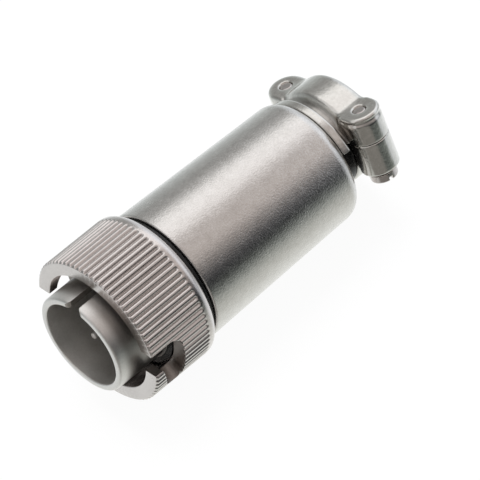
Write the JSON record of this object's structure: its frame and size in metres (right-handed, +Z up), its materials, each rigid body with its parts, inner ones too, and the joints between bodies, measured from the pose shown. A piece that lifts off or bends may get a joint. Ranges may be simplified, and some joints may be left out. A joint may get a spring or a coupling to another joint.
{
  "type": "circular connector plug",
  "caption": "Nickel-plated circular cable plug with a knurled bayonet coupling ring, a long back shell and a two-screw cable clamp.",
  "frame": {"origin": "centre of the plug barrel's mating rim", "axes": "+X along the plug's axis from the mating rim to the cable outlet; +Z up, with the plug lying on its coupling ring and one ear of its clamp, so that the clamp's own up direction leans 21 degrees from +Z towards +Y"},
  "size_m": [0.0559, 0.0252, 0.0244],
  "materials": {
    "cast_nickel": "satin nickel on a die-cast body",
    "ring_nickel": "satin nickel with a straight knurl",
    "shell_nickel": "bead-blasted nickel with a fine grain",
    "plated_steel": "plated steel",
    "insulator": "dark moulded insulator",
    "contact_plating": "silver-plated contact",
    "black_rubber": "black rubber"
  },
  "bodies": {
    "plug": {"plug_shell": "cast_nickel", "front_insulator": "insulator", "rear_insulator": "insulator", "insert_retaining_ring": "plated_steel", "interface_gasket": "black_rubber", "thrust_washer": "plated_steel", "neck_seal_ring": "black_rubber", "back_shell": "shell_nickel", "cable_grommet": "black_rubber", "grommet_washer": "plated_steel", "neck_sleeve": "black_rubber", "clamp_body": "cast_nickel", "clamp_bush": "black_rubber", "lock_washer_1": "plated_steel", "lock_washer_2": "plated_steel", "contact_pin_1": "contact_plating", "contact_pin_2": "contact_plating", "contact_pin_3": "contact_plating", "contact_pin_4": "contact_plating", "contact_pin_5": "contact_plating"},
    "ring": {"coupling_ring": "ring_nickel"},
    "saddle": {"clamp_saddle": "cast_nickel"},
    "screw_1": {"clamp_screw_1": "plated_steel"},
    "screw_2": {"clamp_screw_2": "plated_steel"}
  },
  "joints": [
    {"name": "ring_turn", "type": "hinge", "parent": "plug", "child": "ring", "pos_m": [0.0095, 0, 0], "axis": [1, 0, 0], "continuous": true},
    {"name": "saddle_lift", "type": "slide", "parent": "plug", "child": "saddle", "axis": [0, 0.3584, 0.9336], "range_m": [0, 0.002]},
    {"name": "screw_1_turn", "type": "hinge", "parent": "plug", "child": "screw_1", "pos_m": [0.05287, 0.00775, -0.00297], "axis": [0, -0.3584, -0.9336], "range_deg": [0, 1801]},
    {"name": "screw_2_turn", "type": "hinge", "parent": "plug", "child": "screw_2", "pos_m": [0.05287, -0.00775, 0.00297], "axis": [0, -0.3584, -0.9336], "range_deg": [0, 1801]}
  ],
  "couplings": [
    {"joint": "screw_1_turn", "follows": "saddle_lift", "rad_per_m": 15708},
    {"joint": "screw_2_turn", "follows": "saddle_lift", "rad_per_m": 15708}
  ]
}
